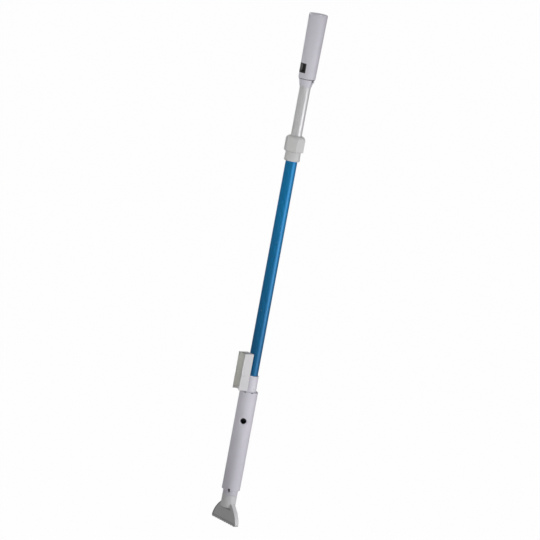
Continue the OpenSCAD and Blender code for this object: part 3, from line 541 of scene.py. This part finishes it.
finishes |= {
    "blue_anodised": drawn_tube(
        "blue_anodised", "outer_tube", tint(6, 130, 187), tint(2, 88, 133), roughness=0.45, metallic=0.36,
    ),
    "satin_tube": drawn_tube(
        "satin_tube", "inner_tube", tint(213, 213, 213), tint(206, 206, 207), roughness=0.42, metallic=0.30,
        rubbed=0.3,
    ),
    "bare_steel": plain_metal("bare_steel", (0.50, 0.50, 0.51)),
    "motor_can": plain_metal("motor_can", (0.45, 0.46, 0.48), 0.42),
    "contact_brass": plain_metal("contact_brass", (0.75, 0.55, 0.22), 0.3),
}

# %% [markdown]
# ## Inner finishes
# A few pieces only show when the wand comes apart: the cells in their shrink wrap and the small board. They
# get a short formula each, because they are seldom seen.

# %% Inner finishes


def wrapped(name, colour, band):
    """Shrink wrap: glossy film with wrinkles along the cells, and a paler band near the top of their row."""
    net = Net(name)
    wrinkle = net.noise(240.0, (1.0, 1.0, 0.3), 2.0)
    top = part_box("battery_cells")[1][2]
    collar = net.axis("Z").near(top - 7.0 * MM, 3.0 * MM)
    return net.finish(
        Base_Color=net.mix(collar, colour, band), Roughness=0.22 + wrinkle * 0.1,
        Normal=net.bump(wrinkle, 0.0001), Coat_Weight=0.3, Coat_Roughness=0.1,
    )


TRACK_PITCH = 1.25 * MM


def lacquered_board(name):
    """Circuit board: a groove where |sin(pi x / pitch)| is small, between tracks under green lacquer."""
    net = Net(name)
    track = (net.axis("X") * (math.pi / TRACK_PITCH)).math("SINE").math("ABSOLUTE").rise(0.1, 0.2)
    blotch = net.noise(200.0)
    return net.finish(
        Base_Color=net.mix(track * 0.5 + blotch * 0.2, (0.02, 0.12, 0.06), (0.03, 0.20, 0.10)),
        Roughness=0.3 + blotch * 0.1, Normal=net.bump(track, 0.00004),
    )


finishes |= {
    "cell_wrap": wrapped("cell_wrap", (0.03, 0.16, 0.10), (0.5, 0.5, 0.5)),
    "board": lacquered_board("board"),
}

# %% [markdown]
# ## Finishes on the frame
# Every CAD node takes the finish of its material slot in the record, or one of its own where its tone, its
# dirt or its painted light and shade differ. Moulded edges are never sharp, so five nodes with plain edges
# also get a small bevel for the light to catch. A modifier does that, and leaves the CAD's own mesh alone.

# %% Finishes on the frame
SLOTS = {entry["node"]: entry["material_slot"] for entry in frame["record"]["subparts"]}
MERGE_DISTANCE, SHARP_ANGLE = 1e-6, math.radians(40.0)


def soften(name, width, segments=2):
    """Rounds one node's sharp edges: joins the split vertices, bevels by width, then evens the normals."""
    joined = NODES[name].modifiers.new("joined", "WELD")
    joined.merge_threshold = MERGE_DISTANCE
    bevel = NODES[name].modifiers.new("rounded", "BEVEL")
    bevel.width, bevel.segments, bevel.limit_method = width, segments, "ANGLE"
    bevel.angle_limit = SHARP_ANGLE
    NODES[name].modifiers.new("even", "WEIGHTED_NORMAL").keep_sharp = True


OWN = {
    "coupling_ring": moulded("pale_coupling", PALE, painted_shade=latch_recess),
    "housing_shell": moulded("pale_housing", PALE, painted_shade=latch_recess),
    "port_ring": moulded("pale_port", PALE, painted_shade=port_bore),
    "housing_cap": moulded("pale_cap", PALE, painted_shade=rim_notches),
    "grip_collar": moulded("pale_collar", PALE, painted_shade=cord_eye),
    "lock_nut": moulded("warm_nut", WARM, grime=0.6),
    "lock_sleeve": moulded("warm_sleeve", WARM, grime=0.6),
    # The impeller is black plastic, which paints the shade deep inside the port.
    "impeller": finishes["black_plastic"],
    # The rocker's grey is painted light on its lit left half, and its right half is painted black as shade.
    "switch_rocker": moulded(
        "rocker_lit_and_shaded", tint(104, 104, 105), roughness=0.5, grain=0.3, grime=0.0,
        painted_shade=rocker_shade_half, ior=1.15,
    ),
}
for name, node in NODES.items():
    node.data.materials.clear()
    node.data.materials.append(OWN.get(name, finishes.get(SLOTS[name], finishes["pale_brush"])))
EDGES_MM = {
    "nozzle_body": 1.6, "mouth_lip": 0.6, "brush_body": 0.8, "switch_frame": 0.3, "switch_rocker": 0.4,
}
for name, width in EDGES_MM.items():
    soften(name, width * MM)
print("finished", len(NODES), "nodes, rounded", len(EDGES_MM))

# %% [markdown]
# ## The brush
# A scrubbing brush is a plastic block with rows of drilled holes, and a bundle of nylon filaments is
# stapled into each hole. The filaments leave the hole tightly packed and spread towards their tips, and a
# used brush has bent ones, as one corner tuft here has. Each filament is a thin tube along its own curve.
# Particle hair would be quicker to set up, but a mesh goes into the export as it is.

# %% Bristles


def sweep(name, centres, across, along, radius, sides, material, body):
    """Closed tubes: ring point = centre + radius (cos t across + sin t along), across x along = forwards.

    centres, across and along are (tubes, rings, 3) arrays and radius is (tubes, rings).
    """
    tubes, rings, _ = centres.shape
    turn = np.linspace(0.0, 2.0 * np.pi, sides, endpoint=False)[:, None]
    ring = np.cos(turn) * across[..., None, :] + np.sin(turn) * along[..., None, :]
    points = centres[..., None, :] + radius[..., None, None] * ring
    index = np.arange(tubes * rings * sides).reshape(tubes, rings, sides)
    after = np.roll(index, -1, axis=2)
    quads = np.stack([index[:, :-1], after[:, :-1], after[:, 1:], index[:, 1:]], axis=-1).reshape(-1, 4)
    caps = np.concatenate([index[:, 0, ::-1], index[:, -1]])
    mesh = bpy.data.meshes.new(name)
    mesh.from_pydata(points.reshape(-1, 3).tolist(), [], quads.tolist() + caps.tolist())
    mesh.polygons.foreach_set("use_smooth", np.ones(len(mesh.polygons), dtype=bool))
    mesh.materials.append(material)
    piece = bpy.data.objects.new(name, mesh)
    scene.collection.objects.link(piece)
    if body:
        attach(piece, body)
    print(f"{name}: {tubes} tubes, {len(points.reshape(-1, 3))} points")
    return piece


def nylon(name, colour):
    """Nylon filament: each strand its own shade, greyer near the root where dirt stays."""
    net = Net(name)
    strand = net.node("ShaderNodeAttribute", {"attribute_name": "strand"}, None, "Fac")
    reach = net.node("ShaderNodeAttribute", {"attribute_name": "reach"}, None, "Fac")
    shade = net.mix(strand, tuple(c * 0.82 for c in colour), colour)
    dirt = (1.0 - reach.rise(0.0, 0.8)) * 0.5
    speckle = net.noise(900.0)
    return net.finish(
        Base_Color=net.mix(dirt, shade, (0.30, 0.29, 0.25)), Roughness=0.45 + speckle * 0.15, IOR=1.53,
        Normal=net.bump(speckle, 0.00002),
    )


COLUMNS, ROWS, STRANDS, RINGS, STRAND_SIDES = 5, 19, 36, 5, 4
TUFT_GAP, TUFT_R = 0.2 * MM, 1.35 * MM
ROOT_R, TIP_R = 0.19 * MM, 0.16 * MM
SPREAD, STRAY, WORN_OFF = 1.0 * MM, 0.22 * MM, 0.7 * MM
CORNER_BEND = np.array([-0.3, 0.0, 2.6]) * MM
GOLDEN_ANGLE = math.pi * (3.0 - math.sqrt(5.0))
low, high = (np.array(corner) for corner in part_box("brush_bristles"))
pitch = (high[0] - low[0] + TUFT_GAP) / COLUMNS
chance = np.random.default_rng(7)

column, row = (grid.ravel() for grid in np.meshgrid(np.arange(COLUMNS), np.arange(ROWS), indexing="ij"))
first = (pitch - TUFT_GAP) / 2
holes = np.stack([
    low[0] + first + column * pitch, np.full(column.size, high[1]), low[2] + first + row * pitch,
], axis=1)

# Strand k of a tuft starts at radius sqrt((k + 0.5) / strands) and k golden angles round, which fills a disc
# evenly. Its curve at u, from 0 at the root to 1 at the tip, is root - length u along Y + lean u ** 1.6.
turns = np.arange(STRANDS) * GOLDEN_ANGLE
out_by = np.sqrt((np.arange(STRANDS) + 0.5) / STRANDS)
flower = np.stack([np.cos(turns) * out_by, np.zeros(STRANDS), np.sin(turns) * out_by], axis=1)
roots = holes[:, None, :] + flower * TUFT_R
lean = flower * SPREAD + chance.normal(0.0, STRAY, (holes.shape[0], STRANDS, 3)) * [1.0, 0.0, 1.0]
corner_tuft = (column == 0) & (row == ROWS - 1)
lean[corner_tuft] += CORNER_BEND * chance.uniform(0.3, 1.3, (1, STRANDS, 1))
length = (high[1] - low[1]) - chance.uniform(0.0, WORN_OFF, (holes.shape[0], STRANDS, 1))
u = np.linspace(0.0, 1.0, RINGS)[None, None, :, None]
straight = np.array([0.0, -1.0, 0.0]) * length[:, :, None, :] * u
curve = roots[:, :, None, :] + straight + lean[:, :, None, :] * u ** 1.6
centres = curve.reshape(-1, RINGS, 3)
across = np.broadcast_to([1.0, 0.0, 0.0], centres.shape)
along = np.broadcast_to([0.0, 0.0, 1.0], centres.shape)
radius = np.broadcast_to(np.linspace(ROOT_R, TIP_R, RINGS), centres.shape[:2])
finishes["bristle"] = nylon("bristle", (0.86, 0.86, 0.81))
bristles = sweep(
    "bristle_tufts", centres, across, along, radius, STRAND_SIDES, finishes["bristle"], "brush",
)
strand = bristles.data.attributes.new("strand", "FLOAT", "POINT")
strand.data.foreach_set("value", np.repeat(chance.uniform(0, 1, len(centres)), RINGS * STRAND_SIDES))
reach = bristles.data.attributes.new("reach", "FLOAT", "POINT")
one_strand = np.repeat(np.linspace(0, 1, RINGS), STRAND_SIDES)
reach.data.foreach_set("value", np.tile(one_strand, len(centres)))
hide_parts("brush_bristles")

# %% [markdown]
# ## The curled cable
# Power goes down inside the pole, and the pole changes its length, so the cord is curled like a telephone
# cord: a 3 mm cord on a helix, as wide as its sleeve in the CAD. Its ends swell to the width of the straight
# leads and lie flat on them. A curve object with a bevel could draw it too, but here the helix, its ends and
# its thickness are one formula each.

# %% Curled cable
low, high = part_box("coiled_cable")
sleeve_r, wire_r = (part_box("cable_lead")[1][0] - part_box("cable_lead")[0][0]) / 2, 1.5 * MM
coil_r = (high[0] - low[0]) / 2 - wire_r
foot_z, head_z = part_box("cable_tail")[1][2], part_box("cable_lead")[0][2]
turn_count, steps, cord_sides = 90, 20, 10

# centre = (spread cos angle, spread sin angle, z). Over the first and last turn, a smooth step opens the
# spread from nothing to the helix and thins the cord from the lead's width to its own. The first and the last
# ring face straight along the pole, so that they lie flat on the leads.
angle = np.linspace(0.0, 2.0 * np.pi * turn_count, turn_count * steps + 1)
opening = np.clip(np.minimum(angle, angle[-1] - angle) / (2.0 * np.pi), 0.0, 1.0)
opening = opening * opening * (3.0 - 2.0 * opening)
spread = coil_r * opening
z = np.linspace(foot_z, head_z, angle.size)
centres = np.stack([spread * np.cos(angle), spread * np.sin(angle), z], axis=1)
forwards = np.gradient(centres, axis=0)
forwards /= np.linalg.norm(forwards, axis=1, keepdims=True)
forwards[[0, -1]] = 0.0, 0.0, 1.0
outwards = np.stack([np.cos(angle), np.sin(angle), np.zeros_like(angle)], axis=1)
outwards -= forwards * (forwards * outwards).sum(axis=1, keepdims=True)
outwards /= np.linalg.norm(outwards, axis=1, keepdims=True)
coil = sweep(
    "curled_cable", centres[None], outwards[None], np.cross(forwards, outwards)[None],
    (sleeve_r + (wire_r - sleeve_r) * opening)[None], cord_sides, finishes["cable_jacket"], None,
)
print("cord in the curl (m):", round(float(np.linalg.norm(np.diff(centres, axis=0), axis=1).sum()), 2))
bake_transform(coil)
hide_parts("coiled_cable")
